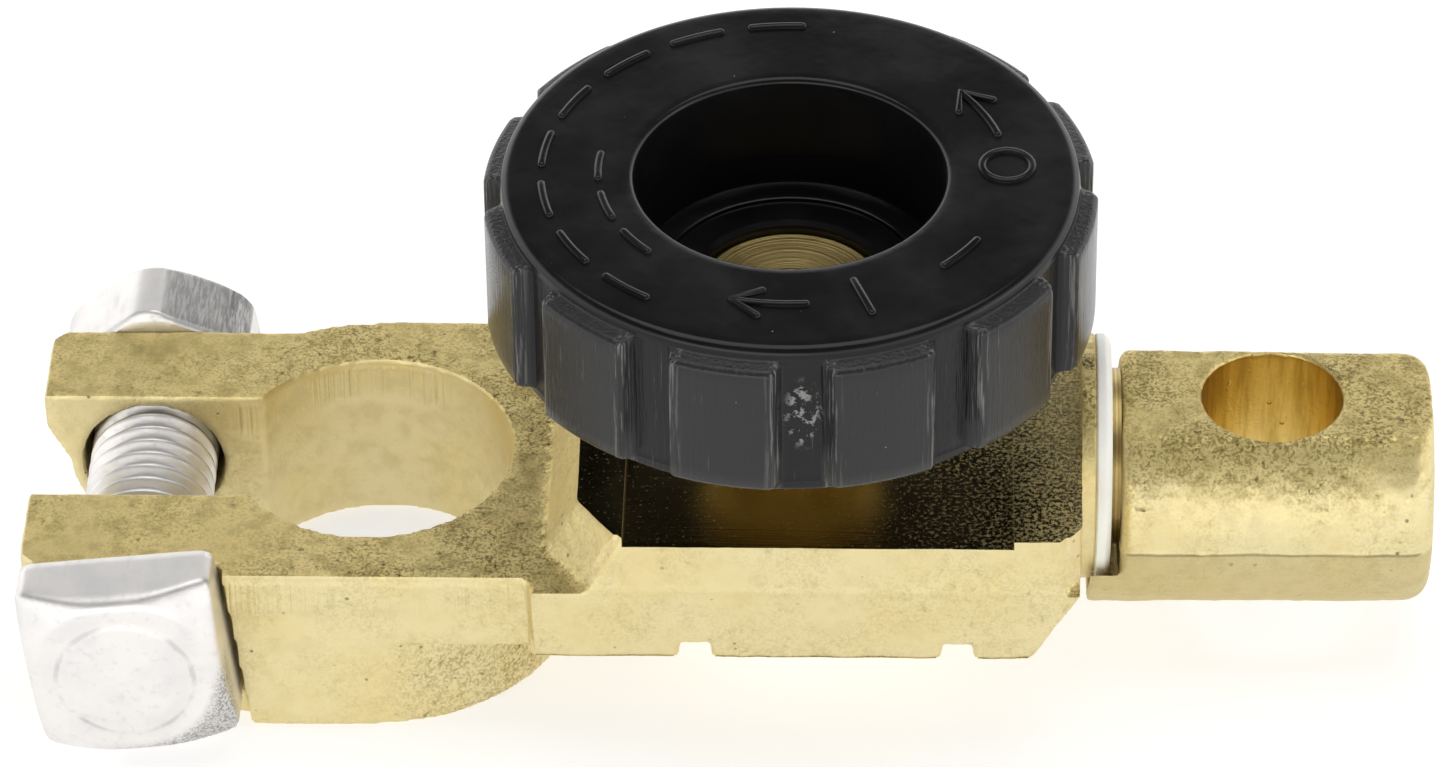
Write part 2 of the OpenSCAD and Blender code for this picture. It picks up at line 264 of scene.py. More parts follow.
def fromCad(name, node):
    return addObject(name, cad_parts[node].data.copy())


def block(name, low, high):
    (x0, y0, z0), (x1, y1, z1) = low, high
    points = [(x, y, z) for z in (z0, z1) for x, y in ((x0, y0), (x1, y0), (x1, y1), (x0, y1))]
    faces = [(3, 2, 1, 0), (4, 5, 6, 7), (0, 1, 5, 4), (1, 2, 6, 5), (2, 3, 7, 6), (3, 0, 4, 7)]
    return fromPoints(name, points, faces)


def slab(name, outline, z0, z1):
    # outline anticlockwise from above
    count = len(outline)
    points = [(x, y, z) for z in (z0, z1) for x, y in outline]
    faces = [tuple(reversed(range(count))), tuple(range(count, 2 * count))]
    faces += [(i, (i + 1) % count, count + (i + 1) % count, count + i) for i in range(count)]
    return fromPoints(name, points, faces)


def cast(piece, voxel, rounds):
    # one skin with soft edges, as a casting comes out of its mould
    skin = piece.modifiers.new("skin", "REMESH")
    skin.mode = "VOXEL"
    skin.voxel_size = voxel * mm
    skin.use_smooth_shade = True
    relax = piece.modifiers.new("relax", "SMOOTH")
    relax.factor = 0.5
    relax.iterations = rounds
    return settle(piece)


def roughen(piece, height):
    # height(point in mm) is how far the skin moves out
    mesh = piece.data
    moves = [height(v.co / mm) * mm for v in mesh.vertices]
    normals = [v.normal.copy() for v in mesh.vertices]
    for vertex, normal, move in zip(mesh.vertices, normals, moves):
        vertex.co += normal * move
    mesh.update()
    return piece


def ripple(point, size, seed=0.0):
    return noise.noise(Vector((point.x / size + seed, point.y / size - seed, point.z / size)))


def hand(piece, body, slot, material, *nodes):
    # a finished piece goes onto its body, trimmed to the frame's box
    low, high = cadBounds
    for vertex in piece.data.vertices:
        vertex.co = [min(max(c, a), b) for c, a, b in zip(vertex.co, low, high)]
    piece.data.materials.clear()
    piece.data.materials.append(material)
    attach(piece, body)
    if nodes:
        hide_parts(*nodes)
    return piece


def sweep(count, low, high):
    return [low + (high - low) * i / (count - 1) for i in range(count)]


def arcRows(centre, radius, start, end, count):
    # rows (height, radius) round a corner; angles from the radial direction up
    turns = [math.radians(a) for a in sweep(count, start, end)]
    return [(centre[1] + radius * math.sin(t), centre[0] + radius * math.cos(t)) for t in turns]


castTones = {"pale": (0.78, 0.68, 0.39), "straw": (0.76, 0.61, 0.25), "olive": (0.30, 0.235, 0.075),
             "fleck": (0.07, 0.055, 0.02), "milled": (0.50, 0.41, 0.20)}


class CastBrass(Board):
    # the skin all the cast pieces share: pale and pitted at the sides, darker with flecks on top
    def __init__(self, name, seed):
        super().__init__(name)
        self.facing = self.facings()
        self.x, self.y, self.z = (self.axis(i) for i in range(3))
        self.up = self.facing[2].step(0.3, 0.9)
        bore = ((self.x * self.x + self.y * self.y) ** 0.5).step(8.95, 8.75)
        inside = bore * self.up.step(0.5, 0.1)
        patch = self.noise(6.5, 3.0, 0.5, seed=seed).step(0.35, 0.68)
        mottle = self.noise(1.3, 5.0, 0.6, seed=seed + 1).step(0.42, 0.66)
        self.wrinkle = self.noise(0.5, 6.0, 0.72, 0.5, seed=seed + 2)
        drift = self.noise(4.5, 2.0, 0.5, seed=seed + 7).step(0.34, 0.6)
        self.grit = self.noise(0.2, 4.0, 0.65, seed=seed + 6)
        region = 0.4 + self.x.step(-13.0, 3.0) * 0.6
        low = self.x.step(0.0, 7.0) * self.x.step(11.5, 9.0) * self.z.step(-4.5, -8.0)
        coarse = (self.up * (0.45 + drift * 0.55) * region + drift * 0.2 + low * 0.6) * (1.0 - inside * 0.9)
        self.grain = (self.grit * 0.6 + self.wrinkle * 0.4).step(0.46, 0.56) * coarse
        self.fleck = self.wrinkle.step(0.60, 0.66) * coarse
        spots = self.cells(1.25, seed=seed + 3).step(0.12, 0.05)
        self.pits = spots * self.noise(2.1, 1.0, 0.5, seed=seed + 5).step(0.52, 0.58) * (1.0 - inside)
        tone = self.blend(patch * 0.4, castTones["pale"], castTones["straw"])
        tone = self.blend(self.up * 0.8, tone, castTones["straw"])
        tone = self.blend(mottle * (self.up * 0.35 + 0.06), tone, castTones["olive"])
        tone = self.blend(self.grain * 0.8, tone, castTones["olive"])
        tone = self.blend(self.fleck * 0.9, tone, castTones["fleck"])
        self.tone = self.blend(self.pits * 0.6, tone, castTones["fleck"])
        self.rough = mottle * 0.1 + 0.38 + self.grit * 0.12 + self.fleck * 0.2
        self.metal = 0.97 - (self.fleck * 0.5).most(self.pits * 0.5)

    def skin(self, cast=1.0):
        # cast is 1 where the skin is as cast and 0 where it is machined
        normal = self.bump(self.grit * cast, 0.03)
        normal = self.bump(self.grain * cast * -1.0, 0.03, normal)
        return self.bump(self.pits.most(self.fleck * 0.6) * cast * -1.0, 0.06, normal)


def makeClampBrass():
    board = CastBrass("castBrass", 0.0)
    # the lands and seat the mill cut: mirror bright, with specks more often towards the lug, and a darkened
    # colour that is a painted reflection of the black knob
    flat = board.facing[2].step(0.985, 0.997) * board.z.step(3.3, 3.5) * board.x.step(10.6, 11.0)
    speck = board.noise(0.26, 6.0, 0.75, seed=11.0)
    share = board.x.step(27.0, 41.0) * 0.12 + board.noise(3.5, 2.0, 0.5, seed=12.0) * 0.1
    gold = (speck + share).step(0.62, 0.76) * flat
    line = board.lines(board.y + board.x * 0.03, 5.0, 5.0, 0.7)
    # painted reflection: the mill-cut faces take a darkened brass colour for the black knob they reflect
    tone = board.blend(flat, board.tone, castTones["milled"])
    tone = board.blend(gold * 0.7, tone, castTones["straw"])
    mirror = 0.11 + line.step(0.4, 0.75) * 0.1 + gold * 0.35
    rough = board.rough * (1.0 - flat) + mirror * flat
    # file strokes across the front below the ring's top
    front = board.facing[1].step(-0.8, -0.95) * board.z.step(-3.6, -2.2) * board.z.step(-0.3, -0.9)
    strokes = board.lines(board.x, 2.2, 2.0, 0.5)
    filed = front * board.x.step(9.4, 8.6) * board.x.step(-9.5, -8.0)
    normal = board.bump(strokes * filed, 0.16, board.skin(1.0 - flat))
    normal = board.bump(line * flat, 0.01, normal)
    metal = board.metal.most(flat)
    return board.finish(color=tone, rough=rough, metal=metal, normal=normal)


def makeLugBrass():
    board = CastBrass("lugBrass", 7.0)
    # the mould's parting shows as a dark line; the half below it is rougher and painted darker, a painted
    # shade for the lower half that reflects the shadowed floor
    off = board.z - lugSet["axisZ"] + (board.noise(3.0, 2.0, 0.5, seed=2.0) - 0.5) * 0.3
    side = board.facing[1].size().step(0.8, 0.95)
    parting = off.size().step(0.16, 0.05) * side
    tone = board.blend(parting * 0.55, board.tone, castTones["fleck"])
    low = off.step(0.1, -0.2)
    # painted shade on the half below the parting
    tone = board.blend(low * 0.5, tone, (0.50, 0.42, 0.22))
    x = board.x - lugSet["holeX"]
    hole = ((x * x + board.y * board.y) ** 0.5).step(lugSet["holeR"] + 0.1, lugSet["holeR"])
    drawn = board.noise(0.8, 4.0, 0.6, stretch=(1.0, 1.0, 0.1), seed=8.0)
    bored = board.blend(drawn.step(0.4, 0.65), (0.80, 0.62, 0.22), (0.58, 0.41, 0.11))
    tone = board.blend(hole, tone, bored)
    rough = (board.rough + low * 0.15) * (1.0 - hole) + (0.25 + drawn * 0.15) * hole
    return board.finish(color=tone, rough=rough, metal=board.metal.most(hole), normal=board.skin())


def makeTurnedBrass(name, centreX, faced):
    # turning marks are rings: about an upright axis at centreX (mm) on a faced end, else side by side along x
    board = Board(name)
    x = board.axis(0) - centreX
    y = board.axis(1)
    track = (x * x + y * y) ** 0.5 if faced else x
    rings = board.lines(track, 7.0, 4.0, 0.7)
    stain = board.noise(2.4, 4.0, 0.6)
    # painted shade: these brass tones are darkened for the screw head down in the knob's well; the stem and
    # tip share them
    tone = board.blend(stain.step(0.4, 0.7), (0.66, 0.50, 0.20), (0.50, 0.37, 0.14))
    # the rings are painted darker than the brass, partly turning marks and partly painted reflection contrast
    tone = board.blend(rings.step(0.42, 0.6) * 0.8, tone, (0.25, 0.19, 0.075))
    rough = 0.2 + rings * 0.18 + stain * 0.1
    skin = board.bump(rings, 0.035)
    return board.finish(color=tone, rough=rough, metal=1.0, normal=skin)


def makeZinc(name, darkSlopes):
    # the second argument is 1 where the slopes that face right and up are darker, in streaks, and 0 where
    # they are plain
    board = Board(name)
    cloud = board.noise(3.0, 4.0, 0.55)
    grain = board.noise(0.16, 3.0, 0.6)
    streak = board.noise(0.9, 3.0, 0.55, stretch=(1.6, 0.3, 1.6))
    tone = board.blend(cloud.step(0.35, 0.7), (0.86, 0.835, 0.81), (0.78, 0.765, 0.75))
    tone = board.blend(streak.step(0.55, 0.75) * 0.15, tone, (0.40, 0.40, 0.39))
    x = board.axis(0) - boltSet["x"]
    y = board.axis(1)
    z = board.axis(2) - boltSet["z"]
    reach = (x * x + z * z) ** 0.5
    front = y.step(-13.5, -15.0)
    edge = (reach + (cloud - 0.5) * 0.5 - boltSet["padR"]).size().step(0.22, 0.06) * front
    # painted reflection: a dark speckled patch on the head's lower right corner stands in for something dark
    # reflected there
    corner = reach.step(5.0, 5.9) * front * (x - z).step(4.0, 6.5)
    paintedReflectionSpeckle = corner * grain.step(0.42, 0.58)
    facing = board.facings()
    slope = facing[0].step(0.25, 0.45) * facing[2].step(0.3, 0.5)
    slopeStreaks = board.noise(0.35, 4.0, 0.65, stretch=(2.0, 0.25, 2.0), seed=4.0).step(0.35, 0.62)
    tone = board.blend(slope * (0.6 + slopeStreaks * 0.4) * darkSlopes, tone, (0.20, 0.20, 0.195))
    tone = board.blend(edge * cloud.step(0.4, 0.6) * 0.4, tone, (0.42, 0.41, 0.40))
    tone = board.blend(paintedReflectionSpeckle.most(corner * 0.35) * 0.85, tone, (0.25, 0.25, 0.25))
    rough = 0.4 + grain * 0.12 + streak.step(0.5, 0.8) * 0.1
    skin = board.bump(grain, 0.012)
    skin = board.bump(streak, 0.012, skin)
    return board.finish(color=tone, rough=rough, metal=1.0, normal=skin)


def makeBlackPlastic():
    board = Board("blackPlastic")
    x, y, z = (board.axis(i) for i in range(3))
    x = x - knobSet["x"]
    haze = board.noise(6.0, 4.0, 0.6)
    peel = board.noise(0.9, 2.0, 0.5)
    dust = board.cells(1.6).step(0.035, 0.012) * board.noise(3.0, 1.0, 0.5, seed=3.0).step(0.52, 0.6)
    # painted highlight: the recess flanks, and faintly the whole side, get lighter streaks up and down
    reach = (x * x + y * y) ** 0.5
    side = reach.step(17.0, 17.25) * z.step(20.6, 20.3)
    turn = y.sum("ARCTAN2", y, x) * (180 / math.pi) - (knobSet["turn"] - 90)
    off = turn.sum("PINGPONG", turn, 180 / knobSet["lobes"])
    flank = off.step(3.9, 4.8) * off.step(7.6, 5.4) * side
    floor = off.step(4.4, 3.6) * side
    scuffAndHighlightStreak = board.noise(0.6, 3.0, 0.6, stretch=(3.0, 3.0, 0.14), seed=5.0)
    paintedStreakHighlight = (flank * scuffAndHighlightStreak.step(0.5, 0.66)).most(side * scuffAndHighlightStreak.step(0.66, 0.74) * 0.35)
    # the stub where the mould was fed, in the front recess
    away = ((x - knobSet["gateX"]) ** 2.0 + ((z - knobSet["gateZ"]) * 0.45) ** 2.0) ** 0.5
    gate = away.step(1.3, 0.7) * y.step(-16.0, -16.6) * board.noise(0.6, 4.0, 0.7, seed=6.0).step(0.5, 0.56)
    tone = board.blend(haze.step(0.3, 0.8), (0.005, 0.005, 0.0055), (0.009, 0.009, 0.0095))
    # painted shade: the side is a lighter grey except on the recess floors, which stay black as shade in the
    # recesses
    tone = board.blend(side * (1.0 - floor), tone, (0.024, 0.024, 0.024))
    # the painted highlight streaks, and the lighter gate stub
    tone = board.blend((paintedStreakHighlight * 0.45).most(gate * 0.8), tone, (0.30, 0.30, 0.29))
    tone = board.blend(dust * 0.8, tone, (0.55, 0.54, 0.52))
    rough = (0.17 + haze.step(0.35, 0.75) * 0.1 + paintedStreakHighlight * 0.2 + dust * 0.3 + gate * 0.1).capped()
    skin = board.bump(peel, 0.012)
    skin = board.bump(scuffAndHighlightStreak * side, 0.05, skin)
    skin = board.bump(gate, 0.15, skin)
    return board.finish(color=tone, rough=rough, metal=0.0, normal=skin, spec=0.28)


def makeNylon():
    board = Board("whiteNylon")
    cloud = board.noise(4.0, 3.0, 0.5)
    speck = board.noise(0.3, 2.0, 0.5)
    tone = board.blend(cloud.step(0.3, 0.7), (0.94, 0.915, 0.86), (0.90, 0.87, 0.80))
    rough = 0.42 + speck * 0.15
    return board.finish(color=tone, rough=rough, metal=0.0, normal=board.bump(speck, 0.015),
                        under=0.15, underScale=0.002)


nylon = makeNylon()
print("finishes made")


clampSet = {"voxel": 0.24, "rounds": 5, "wave": 2.6, "waveHeight": 0.05, "grain": 0.7, "grainHeight": 0.028,
            "seamZ": 0.24, "seamHeight": 0.09, "draft": 0.05, "topZ": 4.1, "seatZ": 3.55,
            "seatX": (15.8, 39.2), "left": 10.9, "lean": 2.1, "cornerX": 2.8, "cornerY": 3.9, "right": 43.3,
            "halfWidth": 13.95,
            "endCorner": 1.25, "screwX": 25.7, "holeR": 5.12, "bossR": 7.5, "bossX": 44.25, "stemZ": -0.3,
            "boreR": 3.25}


def makeClampCasting():
    s = clampSet
    body = fromCad("clampCasting", "clamp_body")
    left, half, right = s["left"] + s["lean"], s["halfWidth"], s["right"]
    topOutline = [(left, half - s["cornerY"]), (left, -half + s["cornerY"]), (left + s["cornerX"], -half),
                  (right - s["endCorner"], -half), (right, -half + 1.3 * s["endCorner"]),
                  (right, half - 1.3 * s["endCorner"]), (right - s["endCorner"], half),
                  (left + s["cornerX"], half)]
    along = Matrix.Translation((0, 0, s["stemZ"])) @ Matrix.Rotation(math.pi / 2, 4, "Y")
    # metal that the mill and the lathe take off again, so that the machined edges stay sharp
    combine(body, slab("stock", topOutline, s["seatZ"] - 0.5, s["topZ"] + 0.9), "UNION")
    rows = [(s["right"] - 0.3, s["bossR"] + 0.3), (s["bossX"] + 0.4, s["bossR"] + 0.3)]
    combine(body, spin("bossStock", rows, along, 128), "UNION")
    cast(body, s["voxel"], s["rounds"])

    def height(p):
        calm = 0.35 if math.hypot(p.x, p.y) < 9.0 else 1.0
        out = s["waveHeight"] * ripple(p, s["wave"]) + s["grainHeight"] * ripple(p, s["grain"], 9.0)
        if abs(p.y) > half - 0.6 and p.x > 9:
            seam = max(0.0, 1 - abs(p.z - s["seamZ"]) / 0.3)
            out += s["seamHeight"] * seam * (0.75 + ripple(p, 1.7, 4.0))
            out -= s["draft"] * abs(p.z - s["seamZ"])
        return out * calm

    roughen(body, height)
    combine(body, block("mill", (s["left"], -20, s["topZ"]), (s["right"] + 0.06, 20, 9)), "DIFFERENCE")
    combine(body, block("seatMill", (s["seatX"][0], -20, s["seatZ"]), (s["seatX"][1], 20, 9.3)), "DIFFERENCE")
    drill = Matrix.Translation((s["screwX"], 0, 0))
    edge = 0.35
    rows = [(-2, s["holeR"]), (s["seatZ"] - edge, s["holeR"]), (s["seatZ"] + 1, s["holeR"] + edge + 1)]
    combine(body, spin("drill", rows, drill), "DIFFERENCE")
    face, rim = s["right"] + 0.03, 0.12
    rows = [(s["bossX"], 1.0), (s["bossX"], s["bossR"] - rim), (s["bossX"] - rim, s["bossR"]),
            (face, s["bossR"]), (face, 12.0), (s["bossX"] + 2, 12.0)]
    combine(body, spin("turning", rows, along, 128), "DIFFERENCE")
    combine(body, spin("stemDrill", [(29, s["boreR"]), (50, s["boreR"])], along, 64), "DIFFERENCE")
    return shade(body, 38)


clampCasting = makeClampCasting()
hand(clampCasting, "clamp", "cast_brass", makeClampBrass(), "clamp_body")
print("clamp casting made", len(clampCasting.data.polygons))


lugSet = {"voxel": 0.18, "rounds": 6, "wave": 2.0, "waveHeight": 0.06, "grain": 0.6, "grainHeight": 0.035,
          "axisZ": -1.85, "radius": 7.7, "flashHeight": 0.16, "flashWidth": 0.2, "holeX": 55.0, "holeR": 4.3,
          "flats": 12.8, "rim": 0.28}


def makeLug():
    s = lugSet
    lug = cast(fromCad("cableLug", "cable_lug"), s["voxel"], s["rounds"])

    def height(p):
        if math.hypot(p.x - s["holeX"], p.y) < s["holeR"] + 0.25:
            return 0.0
        out = s["waveHeight"] * ripple(p, s["wave"], 2.0) + s["grainHeight"] * ripple(p, s["grain"], 5.0)
        if abs(p.y) > s["radius"] - 1.2 or p.x > 64:
            flash = max(0.0, 1 - abs(p.z - s["axisZ"]) / s["flashWidth"])
            out += s["flashHeight"] * flash * max(0.0, 0.55 + ripple(p, 2.3, 1.0))
        return min(out, 0.0) if p.x > 64.5 else out

    roughen(lug, height)
    for side in (1, -1):
        level = s["flats"] / 2
        spot = Matrix.Translation((s["holeX"], 0, s["axisZ"])) @ Matrix.Rotation(math.pi * (side < 0), 4, "X")
        rows = [(level - s["rim"], s["holeR"] - 0.2), (level - s["rim"] + 0.05, s["holeR"]),
                (level + 0.6, s["holeR"] + s["rim"] + 0.6)]
        combine(lug, spin("countersink", rows, spot, 96), "DIFFERENCE")
    return shade(lug, 50)


cableLug = makeLug()
hand(cableLug, "clamp", "cast_brass", makeLugBrass(), "cable_lug")
print("lug made", len(cableLug.data.polygons))


def thread(crest, depth, pitch, height):
    # crest radius less the groove at this height, right-hand
    def radius(angle):
        phase = (height / pitch - angle / (2 * math.pi)) % 1.0
        away = abs(phase - 0.5) * 2           # 0 in the root, 1 on the crest
        return crest - depth * min(1.0, max(0.0, (0.86 - away) / 0.62))
    return radius


def threadRows(crest, depth, pitch, low, high, perTurn=12):
    count = max(3, round((high - low) / pitch * perTurn))
    rows = []
    for height in sweep(count, low, high):
        fade = min(1.0, (high - height) / 0.5 + 0.2, (height - low) / 0.5 + 0.2)
        rows.append((height, thread(crest, depth * fade, pitch, height)))
    return rows


boltSet = {"x": -14.2, "z": -5.2, "across": 12.0, "earY": 11.4, "headT": 4.7, "padR": 4.2, "pad": 0.12,
           "tilt": 6.4, "crest": 3.95, "depth": 0.62, "pitch": 1.25, "tailY": 18.6, "steps": 120}


def squareHead(half, limit, power=22.0):
    # a square with soft corners, turned off where it passes limit
    def radius(angle):
        side = (abs(math.cos(angle)) ** power + abs(math.sin(angle)) ** power) ** (-1 / power)
        flat = half * side
        return (flat + limit - math.sqrt((flat - limit) ** 2 + 0.08)) / 2
    return radius


def makeBolt():
    s = boltSet
    # along the bolt from its head (at -Y) to its tail; local Z is +Y
    spot = Matrix.Translation((s["x"], 0, s["z"])) @ Matrix.Rotation(-math.pi / 2, 4, "X")
    front, back = -s["earY"] - s["headT"], -s["earY"]
    half = s["across"] / 2
    tilt = math.radians(s["tilt"])

    def head(shrink, limit):
        shape = squareHead(half - shrink, limit)
        return lambda angle: shape(angle + tilt)

    # a round pad on the flat front, the square head's soft edge, its sides, then the thread and the tail
    rows = [(front - s["pad"], 0.4), (front - s["pad"], s["padR"] - 0.35),
            (front - s["pad"] * 0.6, s["padR"] - 0.1), (front, s["padR"] + 0.05), (front, s["padR"] + 0.5),
            (front, 5.0), (front + 0.02, head(0.7, 5.55))]
    rows += [(front + 0.06 + t, head(0.5 * math.exp(-3.5 * t), 5.75 + 1.6 * t)) for t in sweep(12, 0.0, 1.9)]
    rows += [(t, head(0.0, 9.0)) for t in sweep(5, front + 2.2, back - 0.4)]
    rows += [(back - 0.15, head(0.12, 9.0)), (back, head(0.5, 8.2)), (back, 4.6), (back, s["crest"] - 0.3)]
    rows += threadRows(s["crest"], s["depth"], s["pitch"], back + 0.3, s["tailY"] - 0.8)
    rows += [(s["tailY"] - 0.3, s["crest"] - 0.45), (s["tailY"], s["crest"] - 0.9), (s["tailY"], 0.4)]
    return shade(spin("clampBolt", rows, spot, s["steps"]), 60)


nutSet = {"across": 12.0, "thick": 5.5, "turn": 23.0, "bore": 4.0, "cornerR": 6.55, "steps": 144}


def makeNut():
    s = nutSet
    b = boltSet
    spot = Matrix.Translation((b["x"], b["earY"], b["z"])) @ Matrix.Rotation(-math.pi / 2, 4, "X")
    turn = math.radians(s["turn"])
    third = math.pi / 3

    def hexagon(shrink, limit):
        def radius(angle):
            side = (angle - turn) % third - third / 2
            flat = (s["across"] / 2 - shrink) / math.cos(side)
            return (flat + limit - math.sqrt((flat - limit) ** 2 + 0.015)) / 2
        return radius

    top = s["thick"]
    corner = s["cornerR"]
    rows = [(0.45, s["bore"]), (0.0, s["bore"] + 0.45), (0.0, 5.5)]
    rows += [(t, hexagon(0.3 * math.exp(-6 * t), min(5.9 + 1.9 * t, corner))) for t in sweep(7, 0.0, 0.6)]
    rows += [(t, hexagon(0.0, corner)) for t in sweep(4, 0.9, top - 1.1)]
    rows += [(top - t, hexagon(0.35 * math.exp(-6 * t), min(5.7 + 1.3 * t, corner)))
             for t in sweep(9, 0.85, 0.0)]
    rows += [(top, 5.4), (top, s["bore"] + 0.5), (top - 0.5, s["bore"])]
    rows += [(t, s["bore"]) for t in sweep(4, top - 1.2, 1.2)]
    return shade(spin("clampNut", rows, spot, s["steps"], closed=True), 32)


clampBolt = makeBolt()
hand(clampBolt, "bolt", "zinc_steel", makeZinc("boltZinc", 0.0), "clamp_bolt")
clampNut = makeNut()
hand(clampNut, "nut", "zinc_steel", makeZinc("nutZinc", 1.0), "clamp_nut")
print("bolt and nut made")


knobSet = {"x": 25.7, "base": 10.8, "top": 21.25, "lobeR": 18.38, "rimR": 17.3, "footZ": 11.5,
           "lobeTop": 20.3, "lobes": 12, "turn": 3.3, "floorHalf": 3.5, "flankEnd": 5.3, "gateFlank": 6.2,
           "wellR": 9.3,
           "wellFloor": 13.55, "stepR": 7.7, "stepFloor": 13.2, "screwR": 5.65, "hollowIn": 11.1,
           "hollowOut": 15.2, "roof": 19.05, "ribs": 6, "ribT": 1.2, "mark": 0.25, "markR": 12.95,
           "markW": 0.5, "gateX": 1.0, "gateZ": 16.6}


def lobeMask(angle):
    # 0 in a recess, 1 on a lobe; the recess in front is the wider one where the mould was fed
    s = knobSet
    pitch = 360 / s["lobes"]
    front = -90 + s["turn"]
    off = (math.degrees(angle) - front + pitch / 2) % pitch - pitch / 2
    fromGate = abs((math.degrees(angle) - front + 180) % 360 - 180)
    end = s["gateFlank"] if fromGate < pitch / 2 else s["flankEnd"]
    t = (abs(off) - s["floorHalf"]) / (end - s["floorHalf"])
    t = min(1.0, max(0.0, t))
    soft = 0.3                                 # how much of the flank is its two roundings
    if t < soft:
        return t * t / (2 * soft * (1 - soft))
    if t > 1 - soft:
        return 1 - (1 - t) ** 2 / (2 * soft * (1 - soft))
    return (t - soft / 2) / (1 - soft)


def lobed(inner, outer):
    return lambda angle: inner + (outer - inner) * lobeMask(angle)


def makeKnobBody():
    s = knobSet
    spot = Matrix.Translation((s["x"], 0, 0))
    rim, lobe, top = s["rimR"], s["lobeR"], s["top"]
    foot, crown = s["footZ"], s["lobeTop"]
    # up the hollow's inner wall, down its outer one, round the foot, up the lobes, over and down the well
    rows = [(s["base"], s["screwR"] - 0.05), (s["base"], s["hollowIn"] - 0.4)]
    rows += [(s["base"] + 0.3, s["hollowIn"])]
    rows += [(h, s["hollowIn"]) for h in sweep(4, s["base"] + 1, s["roof"] - 0.6)]
    rows += [(s["roof"], s["hollowIn"] + 0.6), (s["roof"], s["hollowOut"] - 0.6)]
    rows += [(s["roof"] - 0.6, s["hollowOut"])]
    rows += [(h, s["hollowOut"]) for h in sweep(4, s["roof"] - 1.5, s["base"] + 0.3)]
    rows += [(s["base"], s["hollowOut"] + 0.3), (s["base"], rim - 0.35)]
    rows += arcRows((rim - 0.3, s["base"] + 0.3), 0.3, -70, 0, 4)
    rows += [(foot - 0.15, rim), (foot, rim + 0.02), (foot + 0.02, lobed(rim + 0.04, lobe - 0.45))]
    rows += [(foot + 0.12, lobed(rim, lobe - 0.16)), (foot + 0.4, lobed(rim, lobe))]
    rows += [(h, lobed(rim, lobe)) for h in sweep(7, foot + 1.2, crown - 1.0)]
    for t in sweep(7, 10, 84):
        a = math.radians(t)
        rows.append((crown - 0.5 + 0.5 * math.sin(a), lobed(rim, lobe - 0.5 + 0.5 * math.cos(a))))
    rows += [(crown + 0.03, lobed(rim, rim + 0.25)), (crown + 0.1, lobed(rim, rim + 0.05))]
    rows += [(crown + 0.22, rim)]
    rows += arcRows((rim - 0.62, top - 0.62), 0.62, 8, 90, 8)
    rows += [(top, r) for r in sweep(5, rim - 1.1, s["wellR"] + 0.75)]
    rows += [(top - 0.4 + 0.4 * math.cos(t), s["wellR"] + 0.4 - 0.4 * math.sin(t))
             for t in sweep(6, 0.15, math.pi / 2)]
    rows += [(h, s["wellR"]) for h in sweep(5, top - 1.2, s["wellFloor"] + 0.35)]
    rows += [(s["wellFloor"] + 0.08, s["wellR"] - 0.1), (s["wellFloor"], s["wellR"] - 0.35)]
    rows += [(s["wellFloor"], s["stepR"] + 0.2), (s["wellFloor"] - 0.08, s["stepR"] + 0.03)]
    rows += [(s["stepFloor"] + 0.04, s["stepR"] - 0.03), (s["stepFloor"], s["stepR"] - 0.2)]
    rows += [(s["stepFloor"], s["screwR"] + 0.3), (s["stepFloor"] - 0.25, s["screwR"])]
    rows += [(h, s["screwR"]) for h in sweep(3, s["stepFloor"] - 0.9, s["base"] + 0.3)]
    return spin("knobBody", rows, spot, 480, closed=True)


def roundEnd(tip, inner, half, ends=5):
    # from the end of a stroke back to its full width
    lead = (tip - inner).normalized()
    turns = [math.pi / 2 * i / ends for i in range(ends)]
    return [(tip + lead * half * math.cos(a), max(0.08, math.sin(a))) for a in turns]


def bead(path, width, height, z, loop=False):
    # a raised stroke along path (mm, in the knob's own plane), with round ends or closed on itself
    half = width / 2
    points, faces = [], []
    around = 8
    spots = [Vector(p) for p in path]
    spine = [(p, 1.0) for p in spots]
    if not loop:
        spine = roundEnd(spots[0], spots[1], half) + spine + roundEnd(spots[-1], spots[-2], half)[::-1]
    count = len(spine)
    for i, (p, scale) in enumerate(spine):
        if loop:
            ahead = spine[(i + 1) % count][0] - spine[i - 1][0]
        else:
            ahead = spine[min(i + 1, count - 1)][0] - spine[max(i - 1, 0)][0]
        side = Vector((-ahead.y, ahead.x)).normalized()
        for j in range(around):
            a = math.pi * j / (around - 1)
            across = side * half * scale * math.cos(a)
            lift = height * scale * math.sin(a) ** 0.7 if 0 < j < around - 1 else 0.0
            points.append((p.x + across.x, p.y + across.y, z + lift))
        points.append((p.x - side.x * half * scale, p.y - side.y * half * scale, z - 0.3))
        points.append((p.x + side.x * half * scale, p.y + side.y * half * scale, z - 0.3))
    ring = around + 2
    for i in range(count if loop else count - 1):
        k = (i + 1) % count
        for j in range(ring):
            n = (j + 1) % ring
            faces.append((i * ring + j, i * ring + n, k * ring + n, k * ring + j))
    if not loop:
        faces.append(tuple(reversed(range(ring))))
        faces.append(tuple(range((count - 1) * ring, count * ring)))
    return points, faces


def polar(radius, degrees):
    a = math.radians(degrees)
    return (radius * math.cos(a), radius * math.sin(a))


def arcPath(radius, start, end, count=14):
    return [polar(radius, a) for a in sweep(count, start, end)]


def markPaths():
    # plain marks: an arrow with a ring for off, an arrow with a bar for on, and dashes
    r = knobSet["markR"]
    paths = [arcPath(r, 17, 38), [polar(r + 1.2, 31), polar(r, 38.5), polar(r - 1.2, 31)]]
    paths.append(arcPath(r, -31, -45, 8))
    bar = Vector(polar(r, -70))
    across = Vector(polar(1.0, -70))
    paths.append([tuple(bar - across * 1.6), tuple(bar + across * 1.6)])
    paths += [arcPath(r, -85, -104, 10), [polar(r + 1.2, -97), polar(r, -104.5), polar(r - 1.2, -97)]]
    for i in range(8):
        start = 88 + 19.5 * i
        paths.append(arcPath(r + 1.9, start, start + 12, 9))
    for i in range(3):
        start = 172 + 20 * i
        paths.append(arcPath(r - 1.5, start, start + 12, 9))
    return paths


